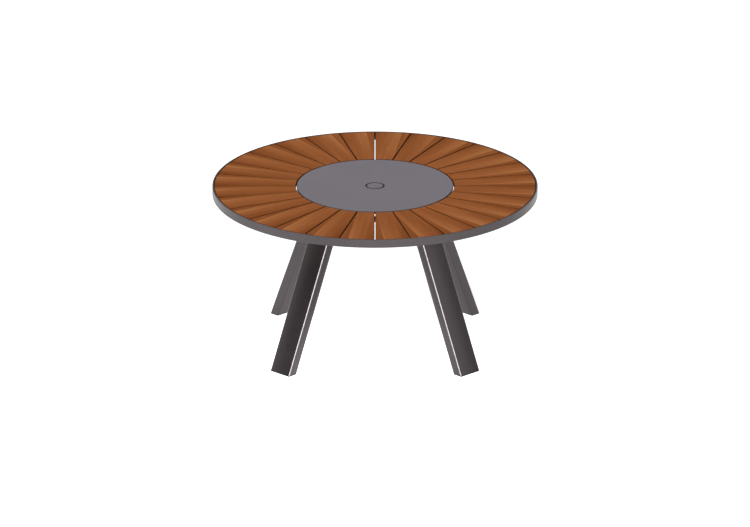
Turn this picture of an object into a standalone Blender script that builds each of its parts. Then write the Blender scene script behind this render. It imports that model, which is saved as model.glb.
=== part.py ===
"""Round garden table: radial wooden slats in a metal rim, a turning metal centre
disc with a lift-out parasol-hole cap, and four splayed flat legs.

Metres, +Z up, origin on the floor under the middle of the table.
Each named object is one physical piece.  Objects are hung under empties:
table_frame (everything fixed), turntable_axis (turns about +Z) and
cap_lift_axis (slides along +Z).
"""

import math

import bmesh
import bpy
from mathutils import Matrix, Vector

# ---------------------------------------------------------------- dimensions
TABLE_R = 0.725            # outside radius of the rim
TABLE_H = 0.740            # floor to table top
GAP = 0.0003               # clearance between pieces that touch

RIM_WALL = 0.006           # thickness of the rim band
RIM_H = 0.038              # height of the rim band
LEDGE_W = 0.025            # how far the slat ledge stands in from the band
LEDGE_T = 0.0095           # thickness of that ledge

SLATS = 28
SLAT_T = 0.018             # slat thickness
SLAT_GAP = 0.0035          # open joint between slats
SLAT_R_IN = 0.3530         # inner end of the slats
SLAT_R_OUT = 0.7165        # outer end of the slats

RING_R_IN = 0.3533         # angle ring that carries the inner ends of the slats
RING_R_OUT = 0.3922
RING_H = 0.016
RING_WALL = 0.0035         # thickness of its flat flange and of its outer web

DISC_R = 0.349             # turning centre disc
DISC_SHEET = 0.005
DISC_EDGE_H = 0.0105       # depth of the disc's turned-down edge
DISC_EDGE_T = 0.0055
DISC_BOSS_R = 0.052        # thick seat round the parasol hole, under the disc
DISC_BOSS_Z = 0.7285
CAP_SEAT_R = 0.0412        # recess for the cap
CAP_SEAT_DEPTH = 0.0055

CAP_R = 0.0380
CAP_PLATE_T = 0.0052
CAP_PLUG_R = 0.0262
CAP_PLUG_WALL = 0.003
CAP_PLUG_BOTTOM = 0.7170

HOLE_R = 0.0270            # parasol hole through disc and sleeve
SLEEVE_R = 0.0300
SLEEVE_BOTTOM = 0.640

HUB_R = 0.150              # plate that ties the arms together
HUB_T = 0.006

BEARING_R_IN = 0.072       # flat turntable bearing
BEARING_R_MID = 0.0920
BEARING_R_OUT = 0.112
BEARING_RUN = 0.0006       # running clearance between its two rings

ARM_W = 0.060              # rectangular tube arms on the diagonals
ARM_H = 0.035
ARM_WALL = 0.0025
ARM_R_IN = 0.034
ARM_R_OUT = 0.7155
ARM_TAPER_FROM = 0.600     # outside this radius the underside rises to the rim
ARM_END_BOTTOM = 0.6985
ARM_PAD_FROM = 0.672       # outside this radius the top steps up to the ledge

LEG_W = 0.1175             # leg section, across
LEG_T = 0.045              # leg section, square to its wide face
LEG_WALL = 0.003
LEG_CORNER = 0.0045
LEG_LEAN = math.radians(23.04)   # outward lean from upright
LEG_FOOT_R = 0.578         # radius of the leg's middle at the floor

PLATE_T = 0.006            # plate welded on top of each leg
PLATE_W = 0.100
PLATE_R_IN = 0.238
PLATE_R_OUT = 0.356
BOLT_R_INNER = 0.252       # bolt positions along the arm
BOLT_R_OUTER = 0.341
BOLT_SHANK_R = 0.004
BOLT_HOLE_R = 0.0045
BOLT_HEAD_AF = 0.013
BOLT_HEAD_H = 0.0053
BOLT_LENGTH = 0.020

FOOT_CAP_T = 0.0042        # plastic foot: the part below the tube
FOOT_PLUG_H = 0.020        # and the plug inside it

DIAGONALS = {"front_right": -45.0, "rear_right": 45.0,
             "rear_left": 135.0, "front_left": 225.0}

# ------------------------------------------------------------ derived levels
SLAT_BOTTOM = TABLE_H - SLAT_T
LEDGE_TOP = SLAT_BOTTOM - GAP
RING_BOTTOM = LEDGE_TOP - RING_H
ARM_TOP = RING_BOTTOM - GAP
ARM_BOTTOM = ARM_TOP - ARM_H
PLATE_TOP = ARM_BOTTOM - GAP
PLATE_BOTTOM = PLATE_TOP - PLATE_T
LEG_TOP = PLATE_BOTTOM - GAP
LEG_BOTTOM = FOOT_CAP_T + GAP
HUB_BOTTOM = RING_BOTTOM
HUB_TOP = HUB_BOTTOM + HUB_T
DISC_UNDER = TABLE_H - DISC_SHEET
LEAN_SLOPE = math.tan(LEG_LEAN)


# ----------------------------------------------------------------- materials
def linear(c):
    return tuple(v / 12.92 if v <= 0.04045 else ((v + 0.055) / 1.055) ** 2.4 for v in c)


def material(name, srgb, roughness, metallic):
    m = bpy.data.materials.new(name)
    m.use_nodes = True
    bsdf = m.node_tree.nodes["Principled BSDF"]
    bsdf.inputs["Base Color"].default_value = (*linear(srgb), 1.0)
    bsdf.inputs["Roughness"].default_value = roughness
    bsdf.inputs["Metallic"].default_value = metallic
    m.diffuse_color = (*linear(srgb), 1.0)
    return m


# ------------------------------------------------------------------- helpers
def add_object(name, mesh, mat, parent, location=(0, 0, 0), turn=0.0):
    """An object made of a mesh, turned about +Z by so many degrees."""
    obj = bpy.data.objects.new(name, mesh)
    bpy.context.scene.collection.objects.link(obj)
    if mesh.materials:
        mesh.materials[0] = mat
    else:
        mesh.materials.append(mat)
    obj.parent = parent
    obj.location = location
    obj.rotation_euler = (0.0, 0.0, math.radians(turn))
    return obj


def empty(name, location, parent=None):
    e = bpy.data.objects.new(name, None)
    e.empty_display_size = 0.05
    bpy.context.scene.collection.objects.link(e)
    e.parent = parent
    e.location = location
    return e


def finish_mesh(bm, name, smooth=False):
    bmesh.ops.remove_doubles(bm, verts=bm.verts, dist=1e-6)
    bmesh.ops.recalc_face_normals(bm, faces=bm.faces)
    mesh = bpy.data.meshes.new(name)
    bm.to_mesh(mesh)
    bm.free()
    if smooth:
        mesh.shade_smooth()
        mesh.set_sharp_from_angle(angle=math.radians(35))
    return mesh


def turned(name, profile, segments, closed=True):
    """A turned piece: the profile, (radius, height) pairs, spun once about +Z.
    A closed profile stays clear of the axis; an open one starts and ends on it."""
    bm = bmesh.new()
    verts = [bm.verts.new((r, 0.0, z)) for r, z in profile]
    pairs = list(zip(verts, verts[1:]))
    if closed:
        pairs.append((verts[-1], verts[0]))
    edges = [bm.edges.new(p) for p in pairs]
    bmesh.ops.spin(bm, geom=verts + edges, cent=(0, 0, 0), axis=(0, 0, 1),
                   angle=2 * math.pi, steps=segments, use_merge=True)
    return finish_mesh(bm, name, smooth=True)


def loft(name, loops, smooth=False, cap_first=True, cap_last=True):
    """A skin over loops of points that match one to one, with flat ends."""
    bm = bmesh.new()
    rings = [[bm.verts.new(p) for p in loop] for loop in loops]
    n = len(rings[0])
    for low, high in zip(rings, rings[1:]):
        for i in range(n):
            j = (i + 1) % n
            bm.faces.new((low[i], low[j], high[j], high[i]))
    if cap_first:
        bm.faces.new(list(reversed(rings[0])))
    if cap_last:
        bm.faces.new(rings[-1])
    return finish_mesh(bm, name, smooth)


def prism(name, outline, z0, z1):
    return loft(name, [[(x, y, z0) for x, y in outline], [(x, y, z1) for x, y in outline]])


def cutter(name, mesh, location=(0, 0, 0)):
    obj = bpy.data.objects.new(name, mesh)
    bpy.context.scene.collection.objects.link(obj)
    obj.location = location
    obj.hide_render = True
    obj.display_type = "WIRE"
    return obj


def cut(mesh, cutters):
    """The mesh with the cutters taken out of it, as a new mesh."""
    work = bpy.data.objects.new("work", mesh)
    bpy.context.scene.collection.objects.link(work)
    for c in cutters:
        mod = work.modifiers.new("cut_" + c.name, "BOOLEAN")
        mod.operation = "DIFFERENCE"
        mod.solver = "EXACT"
        mod.object = c
    graph = bpy.context.evaluated_depsgraph_get()
    graph.update()
    made = bpy.data.meshes.new_from_object(work.evaluated_get(graph))
    made.name = mesh.name
    bpy.data.objects.remove(work)
    for c in cutters:
        bpy.data.objects.remove(c)
    return made


def round_outline(radius, sides):
    return [(radius * math.cos(2 * math.pi * i / sides),
             radius * math.sin(2 * math.pi * i / sides)) for i in range(sides)]


def rounded_rectangle(half_x, half_y, corner_x, corner_y, steps):
    """Outline of a rectangle with elliptical corners, anticlockwise."""
    points = []
    for quarter in range(4):
        sx = 1 if quarter in (0, 3) else -1
        sy = 1 if quarter in (0, 1) else -1
        cx, cy = sx * (half_x - corner_x), sy * (half_y - corner_y)
        for i in range(steps + 1):
            a = math.pi / 2 * (quarter + i / steps)
            points.append((cx + corner_x * math.cos(a), cy + corner_y * math.sin(a)))
    return points


# -------------------------------------------------------------------- pieces
def make_slat():
    """A slat along +X: two straight sides parallel to the rays between slats,
    an arc at each end."""
    half = math.pi / SLATS
    a_in = half - math.asin(SLAT_GAP / 2 / SLAT_R_IN)
    a_out = half - math.asin(SLAT_GAP / 2 / SLAT_R_OUT)
    outline = []
    for i in range(7):
        a = -a_out + 2 * a_out * i / 6
        outline.append((SLAT_R_OUT * math.cos(a), SLAT_R_OUT * math.sin(a)))
    for i in range(5):
        a = a_in - 2 * a_in * i / 4
        outline.append((SLAT_R_IN * math.cos(a), SLAT_R_IN * math.sin(a)))
    return prism("slat", outline, SLAT_BOTTOM, TABLE_H)


def make_rim():
    """L-shaped extrusion rolled into a ring: the band and the slat ledge."""
    inner = TABLE_R - RIM_WALL
    low = TABLE_H - RIM_H
    return turned("rim", [
        (TABLE_R, TABLE_H), (TABLE_R, low), (inner, low),
        (inner, LEDGE_TOP - LEDGE_T), (inner - LEDGE_W, LEDGE_TOP - LEDGE_T),
        (inner - LEDGE_W, LEDGE_TOP), (inner, LEDGE_TOP), (inner, TABLE_H)], 112)


def make_slat_ring():
    """Angle section rolled into a ring: the slats lie on its flat flange."""
    web, under = RING_R_OUT - RING_WALL, LEDGE_TOP - RING_WALL
    return turned("inner_slat_ring", [
        (RING_R_OUT, LEDGE_TOP), (RING_R_OUT, RING_BOTTOM), (web, RING_BOTTOM),
        (web, under), (RING_R_IN, under), (RING_R_IN, LEDGE_TOP)], 84)


def ring(name, r0, r1, z0, z1, segments):
    return turned(name, [(r1, z1), (r1, z0), (r0, z0), (r0, z1)], segments)


def make_disc():
    return turned("centre_disc", [
        (DISC_R, TABLE_H), (DISC_R, TABLE_H - DISC_EDGE_H),
        (DISC_R - DISC_EDGE_T, TABLE_H - DISC_EDGE_H),
        (DISC_R - DISC_EDGE_T, DISC_UNDER), (DISC_BOSS_R, DISC_UNDER),
        (DISC_BOSS_R, DISC_BOSS_Z), (HOLE_R, DISC_BOSS_Z),
        (HOLE_R, TABLE_H - CAP_SEAT_DEPTH), (CAP_SEAT_R, TABLE_H - CAP_SEAT_DEPTH),
        (CAP_SEAT_R, TABLE_H)], 84)


def make_cap():
    plate_under = TABLE_H - CAP_PLATE_T
    inside = CAP_PLUG_R - CAP_PLUG_WALL
    return turned("parasol_cap", [
        (0.0, TABLE_H), (CAP_R, TABLE_H), (CAP_R, plate_under),
        (CAP_PLUG_R, plate_under), (CAP_PLUG_R, CAP_PLUG_BOTTOM),
        (inside, CAP_PLUG_BOTTOM), (inside, plate_under + 0.0015),
        (0.0, plate_under + 0.0015)], 48, closed=False)


def make_bearing_lower():
    return ring("bearing_lower", BEARING_R_MID, BEARING_R_OUT,
                HUB_TOP + GAP, HUB_TOP + GAP + 0.0130, 48)


def make_bearing_upper():
    low = HUB_TOP + 0.0020
    flange = HUB_TOP + GAP + 0.0130 + BEARING_RUN
    top = DISC_UNDER - GAP
    wall = BEARING_R_MID - BEARING_RUN
    return turned("bearing_upper", [
        (BEARING_R_OUT, top), (BEARING_R_OUT, flange), (wall, flange),
        (wall, low), (BEARING_R_IN, low), (BEARING_R_IN, top)], 48)


def make_arm():
    """A rectangular tube along +X, open at the hub end.  Its outer end is cut
    on a slope below and carries a raised pad that meets the rim's ledge."""
    side = [(ARM_R_IN, ARM_BOTTOM), (ARM_TAPER_FROM, ARM_BOTTOM),
            (ARM_R_OUT, ARM_END_BOTTOM), (ARM_R_OUT, LEDGE_TOP - LEDGE_T - GAP),
            (ARM_PAD_FROM + 0.010, LEDGE_TOP - LEDGE_T - GAP), (ARM_PAD_FROM, ARM_TOP),
            (ARM_R_IN, ARM_TOP)]
    outer = loft("arm", [[(x, -ARM_W / 2, z) for x, z in side],
                         [(x, ARM_W / 2, z) for x, z in side]])
    hollow = [(ARM_R_IN - 0.01, ARM_BOTTOM + ARM_WALL),
              (ARM_TAPER_FROM, ARM_BOTTOM + ARM_WALL),
              (ARM_PAD_FROM, ARM_TOP - 0.012), (ARM_PAD_FROM, ARM_TOP - ARM_WALL),
              (ARM_R_IN - 0.01, ARM_TOP - ARM_WALL)]
    w = ARM_W / 2 - ARM_WALL
    cutters = [cutter("arm_hollow", loft("arm_hollow", [
        [(x, -w, z) for x, z in hollow], [(x, w, z) for x, z in hollow]]))]
    for i, r in enumerate((BOLT_R_INNER, BOLT_R_OUTER)):
        hole = prism("arm_hole", round_outline(BOLT_HOLE_R, 12), -0.006, 0.006)
        cutters.append(cutter(f"arm_hole_{i}", hole, (r, 0, ARM_BOTTOM)))
    return cut(outer, cutters)


def leg_outline(inset, corner, steps):
    """Horizontal section of a leg: the square section stretched by the lean."""
    stretch = 1 / math.cos(LEG_LEAN)
    return rounded_rectangle((LEG_T / 2 - inset) * stretch, LEG_W / 2 - inset,
                             corner * stretch, corner, steps)


def at_height(outline, z):
    """The outline moved to where the leg's middle is at height z."""
    return [(LEG_FOOT_R - LEAN_SLOPE * z + x, y, z) for x, y in outline]


def make_leg():
    """A leaning tube with level ends, open at both."""
    out = leg_outline(0.0, LEG_CORNER, 4)
    inn = leg_outline(LEG_WALL, LEG_CORNER - LEG_WALL, 4)
    loops = [at_height(out, LEG_BOTTOM), at_height(out, LEG_TOP),
             at_height(inn, LEG_TOP), at_height(inn, LEG_BOTTOM),
             at_height(out, LEG_BOTTOM)]
    return loft("leg", loops, smooth=True, cap_first=False, cap_last=False)


def make_foot_cap():
    """Plastic foot: a sole the size of the tube and a plug up inside it."""
    sole = leg_outline(0.0004, LEG_CORNER - 0.0004, 4)
    plug = leg_outline(LEG_WALL + GAP, LEG_CORNER - LEG_WALL - GAP, 4)
    loops = [at_height(sole, 0.0), at_height(sole, FOOT_CAP_T),
             at_height(plug, FOOT_CAP_T), at_height(plug, FOOT_CAP_T + FOOT_PLUG_H)]
    return loft("foot_cap", loops, smooth=True)


def make_leg_plate():
    half = PLATE_W / 2
    mid = (PLATE_R_IN + PLATE_R_OUT) / 2
    outline = [(mid + x, y) for x, y in rounded_rectangle(
        (PLATE_R_OUT - PLATE_R_IN) / 2, half, 0.008, 0.008, 2)]
    plate = prism("leg_plate", outline, PLATE_BOTTOM, PLATE_TOP)
    cutters = []
    for i, r in enumerate((BOLT_R_INNER, BOLT_R_OUTER)):
        hole = prism("plate_hole", round_outline(BOLT_HOLE_R, 12), -0.009, 0.009)
        cutters.append(cutter(f"plate_hole_{i}", hole, (r, 0, PLATE_TOP)))
    return cut(plate, cutters)


def make_bolt():
    """Hexagon-head bolt, head down, its origin under the head where it seats."""
    head = []
    for i in range(12):
        a = 2 * math.pi * i / 12
        r = BOLT_HEAD_AF / 2 / (math.cos(math.pi / 6) if i % 2 == 0 else 1.0)
        head.append((r * math.cos(a), r * math.sin(a)))
    shank = round_outline(BOLT_SHANK_R, 12)
    tip = round_outline(BOLT_SHANK_R * 0.8, 12)
    face = [(x * 0.86, y * 0.86) for x, y in head]
    loops = [[(x, y, -BOLT_HEAD_H) for x, y in face],
             [(x, y, -BOLT_HEAD_H + 0.0009) for x, y in head],
             [(x, y, 0.0) for x, y in head],
             [(x, y, 0.0) for x, y in shank],
             [(x, y, BOLT_LENGTH - 0.001) for x, y in shank],
             [(x, y, BOLT_LENGTH) for x, y in tip]]
    return loft("leg_bolt", loops)


# --------------------------------------------------------------------- build
def main():
    for obj in list(bpy.data.objects):
        bpy.data.objects.remove(obj, do_unlink=True)

    wood = material("wood_slats", (0.56, 0.33, 0.19), 0.55, 0.0)
    coat = material("grey_powder_coat", (0.44, 0.42, 0.43), 0.42, 0.35)
    plastic = material("dark_plastic", (0.16, 0.15, 0.16), 0.6, 0.0)
    steel = material("stainless_steel", (0.72, 0.72, 0.71), 0.32, 1.0)
    zinc = material("bearing_metal", (0.60, 0.60, 0.60), 0.38, 1.0)

    frame = empty("table_frame", (0, 0, 0))
    turntable = empty("turntable_axis", (0, 0, DISC_UNDER), frame)
    cap_lift = empty("cap_lift_axis", (0, 0, TABLE_H - DISC_UNDER), turntable)

    slat_mesh = make_slat()
    for i in range(SLATS):
        add_object(f"slat_{i + 1:02d}", slat_mesh, wood, frame,
                   turn=(i + 0.5) * 360 / SLATS)

    add_object("rim", make_rim(), coat, frame)
    add_object("inner_slat_ring", make_slat_ring(), coat, frame)
    add_object("hub_plate", ring("hub_plate", SLEEVE_R + GAP, HUB_R,
                                 HUB_BOTTOM, HUB_TOP, 48), coat, frame)
    add_object("parasol_sleeve", ring("parasol_sleeve", HOLE_R, SLEEVE_R,
                                      SLEEVE_BOTTOM, HUB_TOP, 48), coat, frame)
    add_object("bearing_lower_ring", make_bearing_lower(), zinc, frame)

    # pieces that turn have their origin on the turning axis
    down = (0, 0, -DISC_UNDER)
    for name, mesh, mat in (("bearing_upper_ring", make_bearing_upper(), zinc),
                            ("centre_disc", make_disc(), coat)):
        mesh.transform(Matrix.Translation(down))
        add_object(name, mesh, mat, turntable)
    cap = make_cap()
    cap.transform(Matrix.Translation((0, 0, -TABLE_H)))
    add_object("parasol_cap", cap, coat, cap_lift)

    arm, leg, foot = make_arm(), make_leg(), make_foot_cap()
    plate, bolt = make_leg_plate(), make_bolt()
    seat = PLATE_BOTTOM - GAP
    for where, turn in DIAGONALS.items():
        add_object(f"arm_{where}", arm, coat, frame, turn=turn)
        add_object(f"leg_{where}", leg, coat, frame, turn=turn)
        add_object(f"leg_plate_{where}", plate, coat, frame, turn=turn)
        add_object(f"foot_cap_{where}", foot, plastic, frame, turn=turn)
        for which, r in (("inner", BOLT_R_INNER), ("outer", BOLT_R_OUTER)):
            at = Matrix.Rotation(math.radians(turn), 3, "Z") @ Vector((r, 0, seat))
            add_object(f"leg_bolt_{where}_{which}", bolt, steel, frame, at, turn)


main()
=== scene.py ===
"""Looks of the round garden table: refined pieces with procedural finishes,
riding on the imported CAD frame, on a pale floor in soft studio light."""

import math

import bmesh
import bpy
from mathutils import Matrix, Vector


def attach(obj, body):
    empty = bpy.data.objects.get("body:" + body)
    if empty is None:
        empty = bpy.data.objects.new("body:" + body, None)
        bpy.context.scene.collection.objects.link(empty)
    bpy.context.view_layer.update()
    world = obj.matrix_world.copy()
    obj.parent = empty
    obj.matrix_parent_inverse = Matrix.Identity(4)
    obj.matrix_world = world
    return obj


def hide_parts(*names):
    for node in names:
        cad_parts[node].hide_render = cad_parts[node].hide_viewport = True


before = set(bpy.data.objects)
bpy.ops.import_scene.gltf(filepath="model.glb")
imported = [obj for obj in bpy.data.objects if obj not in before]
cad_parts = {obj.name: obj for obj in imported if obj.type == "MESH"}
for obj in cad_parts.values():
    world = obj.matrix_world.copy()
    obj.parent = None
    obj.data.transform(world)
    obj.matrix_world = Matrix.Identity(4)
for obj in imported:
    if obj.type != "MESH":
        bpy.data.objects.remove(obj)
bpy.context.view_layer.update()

# ---------------------------------------------------------------- dimensions
TABLE_R, TABLE_H = 0.725, 0.740
RIM_WALL, RIM_H = 0.006, 0.038
LEDGE_W, LEDGE_T = 0.025, 0.0095
SLATS, SLAT_T, SLAT_GAP = 28, 0.018, 0.0035
SLAT_R_IN, SLAT_R_OUT = 0.3530, 0.7165
RING_R_IN, RING_R_OUT, RING_H, RING_WALL = 0.3533, 0.3922, 0.016, 0.0035
DISC_R, DISC_SHEET = 0.349, 0.005
DISC_EDGE_H, DISC_EDGE_T = 0.0105, 0.0055
DISC_BOSS_R, DISC_BOSS_Z = 0.052, 0.7285
CAP_SEAT_R, CAP_SEAT_DEPTH = 0.0412, 0.0055
CAP_R, CAP_PLATE_T = 0.0380, 0.0052
CAP_PLUG_R, CAP_PLUG_WALL, CAP_PLUG_BOTTOM = 0.0262, 0.003, 0.7170
HOLE_R, SLEEVE_R, SLEEVE_BOTTOM = 0.0270, 0.0300, 0.640
HUB_R, HUB_T = 0.150, 0.006
GAP = 0.0003
BEARING_R_IN, BEARING_R_MID, BEARING_R_OUT, BEARING_RUN = 0.072, 0.0920, 0.112, 0.0006
ARM_W, ARM_H, ARM_WALL = 0.060, 0.035, 0.0025
ARM_R_IN, ARM_R_OUT, ARM_TAPER_FROM = 0.034, 0.7155, 0.600
ARM_END_BOTTOM, ARM_PAD_FROM = 0.6985, 0.672
LEG_W, LEG_T, LEG_WALL, LEG_CORNER = 0.1175, 0.045, 0.003, 0.0045
LEG_LEAN, LEG_FOOT_R = math.radians(23.04), 0.578
PLATE_T, PLATE_W, PLATE_R_IN, PLATE_R_OUT = 0.006, 0.100, 0.238, 0.356
BOLT_R_INNER, BOLT_R_OUTER = 0.252, 0.341
BOLT_SHANK_R, BOLT_HEAD_AF, BOLT_HEAD_H, BOLT_LENGTH = 0.004, 0.013, 0.0053, 0.020
FOOT_CAP_T, FOOT_PLUG_H = 0.0042, 0.020
DIAGONALS = {"front_right": -45.0, "rear_right": 45.0,
             "rear_left": 135.0, "front_left": 225.0}

SLAT_BOTTOM = TABLE_H - SLAT_T
LEDGE_TOP = SLAT_BOTTOM - GAP
LEDGE_BOTTOM = LEDGE_TOP - LEDGE_T
RING_BOTTOM = LEDGE_TOP - RING_H
ARM_TOP = RING_BOTTOM - GAP
ARM_BOTTOM = ARM_TOP - ARM_H
PLATE_TOP = ARM_BOTTOM - GAP
PLATE_BOTTOM = PLATE_TOP - PLATE_T
LEG_TOP = PLATE_BOTTOM - GAP
LEG_BOTTOM = FOOT_CAP_T + GAP
HUB_BOTTOM = RING_BOTTOM
HUB_TOP = HUB_BOTTOM + HUB_T
DISC_UNDER = TABLE_H - DISC_SHEET
LEAN_SLOPE = math.tan(LEG_LEAN)
STRETCH = 1 / math.cos(LEG_LEAN)
BOLT_SEAT = PLATE_BOTTOM - GAP


# --------------------------------------------------------------- node helper
class Nodes:
    """Short calls for building a node tree."""

    def __init__(self, tree):
        self.tree = tree

    def put(self, node, socket, value):
        if isinstance(value, bpy.types.NodeSocket):
            self.tree.links.new(value, node.inputs[socket])
        else:
            node.inputs[socket].default_value = value

    def new(self, kind, inputs=None, **props):
        node = self.tree.nodes.new(kind)
        for k, v in props.items():
            setattr(node, k, v)
        for k, v in (inputs or {}).items():
            self.put(node, k, v)
        return node

    def math(self, operation, a, b=0.0, clamp=False):
        return self.new("ShaderNodeMath", {0: a, 1: b}, operation=operation,
                        use_clamp=clamp).outputs[0]

    def add(self, a, b):
        return self.math("ADD", a, b)

    def sub(self, a, b):
        return self.math("SUBTRACT", a, b)

    def mul(self, a, b):
        return self.math("MULTIPLY", a, b)

    def total(self, *terms):
        out = terms[0]
        for t in terms[1:]:
            out = self.add(out, t)
        return out

    def ramp_to(self, value, low, high, out_low=0.0, out_high=1.0, smooth=True):
        return self.new("ShaderNodeMapRange",
                        {0: value, 1: low, 2: high, 3: out_low, 4: out_high},
                        interpolation_type="SMOOTHSTEP" if smooth else "LINEAR",
                        clamp=True).outputs[0]

    def scaled(self, vector, factors, offset=(0.0, 0.0, 0.0)):
        n = self.new("ShaderNodeVectorMath", {0: vector, 1: factors, 2: offset},
                     operation="MULTIPLY_ADD")
        return n.outputs[0]

    def noise(self, vector, scale, detail=2.0, rough=0.5, warp=0.0):
        return self.new("ShaderNodeTexNoise",
                        {"Vector": vector, "Scale": scale, "Detail": detail,
                         "Roughness": rough, "Distortion": warp}).outputs[0]

    def centred(self, fac, amount):
        """(fac - 0.5) * amount"""
        return self.mul(self.sub(fac, 0.5), amount)

    def blend(self, fac, a, b):
        n = self.new("ShaderNodeMix", data_type="RGBA")
        self.put(n, 0, fac)
        self.put(n, 6, a)
        self.put(n, 7, b)
        return n.outputs[2]

    def colours(self, fac, stops):
        n = self.new("ShaderNodeValToRGB", {0: fac})
        ramp = n.color_ramp
        while len(ramp.elements) < len(stops):
            ramp.elements.new(0.5)
        for e, (at, colour) in zip(ramp.elements, stops):
            e.position = at
            e.color = (*colour, 1.0)
        return n.outputs[0]

    def bump(self, height, strength, distance, normal=None):
        inputs = {"Height": height, "Strength": strength, "Distance": distance}
        if normal is not None:
            inputs["Normal"] = normal
        return self.new("ShaderNodeBump", inputs).outputs[0]


def linear(hexcolour):
    out = []
    for i in (0, 2, 4):
        c = int(hexcolour[i:i + 2], 16) / 255
        out.append(c / 12.92 if c <= 0.04045 else ((c + 0.055) / 1.055) ** 2.4)
    return tuple(out)


def rgba(hexcolour):
    return (*linear(hexcolour), 1.0)


def new_material(name):
    mat = bpy.data.materials.new(name)
    mat.use_nodes = True
    return mat, Nodes(mat.node_tree), mat.node_tree.nodes["Principled BSDF"]


# ----------------------------------------------------------------- materials
def wood_material():
    """Oiled hardwood. Object coordinates are the slat's own: +X runs along the
    grain, from the middle of the table outwards. Each slat is glued up from two
    boards, and the joint runs close to its -Y side."""
    mat, n, bsdf = new_material("oiled_hardwood")
    co = n.new("ShaderNodeTexCoord").outputs["Object"]
    axes = n.new("ShaderNodeSeparateXYZ", {0: co}).outputs
    x, y, z = axes[0], axes[1], axes[2]
    seed = n.new("ShaderNodeAttribute", attribute_name="slat_seed").outputs["Fac"]
    edge = n.new("ShaderNodeAttribute", attribute_name="edge").outputs["Fac"]
    end = n.new("ShaderNodeAttribute", attribute_name="end_grain").outputs["Fac"]
    joint_shade = n.new("ShaderNodeAttribute", attribute_name="joint_shade").outputs["Fac"]

    shift = n.new("ShaderNodeCombineXYZ", {0: n.mul(seed, 9.7), 1: n.mul(seed, 5.3),
                                           2: n.mul(seed, 3.1)}).outputs[0]
    moved = n.new("ShaderNodeVectorMath", {0: co, 1: shift}, operation="ADD").outputs[0]

    along = n.math("DIVIDE", n.sub(x, SLAT_R_IN), SLAT_R_OUT - SLAT_R_IN, clamp=True)
    half_width = n.sub(n.mul(x, math.tan(math.pi / SLATS)), SLAT_GAP / 2)
    wobble = n.centred(n.noise(n.scaled(moved, (6.0, 0.0, 0.0)), 1.0, 2.0), 0.0014)
    joint = n.mul(n.total(n.mul(along, 0.0031), 0.0381, wobble), -1.0)
    board = n.ramp_to(n.sub(y, joint), 0.0006, -0.0006)          # 1 on the narrow board
    seam = n.mul(n.ramp_to(n.math("ABSOLUTE", n.sub(y, joint)), 0.0011, 0.0002),
                 n.ramp_to(along, 0.04, 0.20))
    across = n.math("DIVIDE", n.sub(y, joint), n.sub(half_width, joint), clamp=True)

    # the narrow board has grain of its own, so its noise is read elsewhere
    apart = n.new("ShaderNodeCombineXYZ", {0: n.mul(board, 2.7), 1: n.mul(board, 0.9),
                                           2: 0.0}).outputs[0]
    grain = n.new("ShaderNodeVectorMath", {0: moved, 1: apart}, operation="ADD").outputs[0]
    # the grain drifts a little sideways along the board
    drift = n.centred(n.noise(n.scaled(grain, (2.2, 6.0, 6.0)), 1.0, 2.0), 0.012)
    bent = n.new("ShaderNodeVectorMath",
                 {0: grain, 1: n.new("ShaderNodeCombineXYZ", {0: 0.0, 1: drift, 2: drift}
                                     ).outputs[0]}, operation="ADD").outputs[0]
    wide = n.noise(n.scaled(bent, (1.6, 34.0, 34.0)), 1.0, 2.0, 0.55)
    streak = n.noise(n.scaled(bent, (4.5, 120.0, 120.0)), 1.0, 3.0, 0.6)
    fibre = n.noise(n.scaled(bent, (16.0, 640.0, 640.0)), 1.0, 4.0, 0.65)
    pore = n.ramp_to(n.noise(n.scaled(bent, (85.0, 1500.0, 1500.0)), 1.0, 2.0, 0.6),
                     0.64, 0.72)
    saw = n.noise(n.scaled(moved, (230.0, 7.0, 7.0)), 1.0, 2.0, 0.5)

    # the wide board is palest beside the joint and darkens away from it
    tone = n.total(
        0.50,
        n.mul(along, n.add(n.mul(across, -0.60), 0.31)),
        n.mul(n.mul(board, along), -0.37),
        n.mul(board, -0.06),
        n.centred(wide, 0.36),
        n.centred(streak, 0.34),
        n.centred(fibre, 0.30),
        n.centred(saw, 0.12),
        n.centred(seed, 0.10),
        n.mul(pore, -0.14),
        n.mul(seam, -0.12))
    colour = n.colours(tone, [
        (0.00, linear("643011")), (0.22, linear("7f441b")), (0.42, linear("905228")),
        (0.60, linear("9f5f32")), (0.80, linear("ad7041")), (1.00, linear("be8756"))])
    # end grain drinks more oil, and worn arrises show it too
    rings = n.noise(n.scaled(moved, (40.0, 900.0, 900.0)), 1.0, 3.0, 0.6)
    end_colour = n.colours(rings, [(0.3, linear("6b3212")), (0.7, linear("96552a"))])
    colour = n.blend(n.mul(end, 0.85), colour, end_colour)
    worn = n.mul(n.mul(edge, n.sub(1.0, joint_shade)),
                 n.ramp_to(n.noise(moved, 55.0, 3.0, 0.6), 0.35, 0.65, 0.10, 0.45))
    colour = n.blend(worn, colour, rgba("a45f2c"))
    # painted shade, with a little grime, darkens the walls of the narrow joints between slats
    shade_and_grime = n.mul(joint_shade, n.ramp_to(n.noise(moved, 30.0, 3.0, 0.6), 0.3, 0.7, 0.80, 1.0))
    colour = n.blend(n.mul(shade_and_grime, JOINT_SHADE_TONE), colour, rgba("1c0d06"))

    n.put(bsdf, "Base Color", colour)
    n.put(bsdf, "Roughness", n.total(0.62, n.centred(fibre, 0.16), n.centred(wide, 0.10),
                                     n.mul(pore, 0.14), n.mul(worn, -0.06),
                                     n.mul(joint_shade, 0.2)))
    bsdf.inputs["Specular IOR Level"].default_value = 0.02
    height = n.total(n.mul(fibre, 0.55), n.mul(pore, -0.55), n.mul(streak, 0.25),
                     n.mul(saw, 0.14), n.mul(seam, -0.9))
    n.put(bsdf, "Normal", n.bump(height, 0.60, 0.00022))
    return mat


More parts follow.
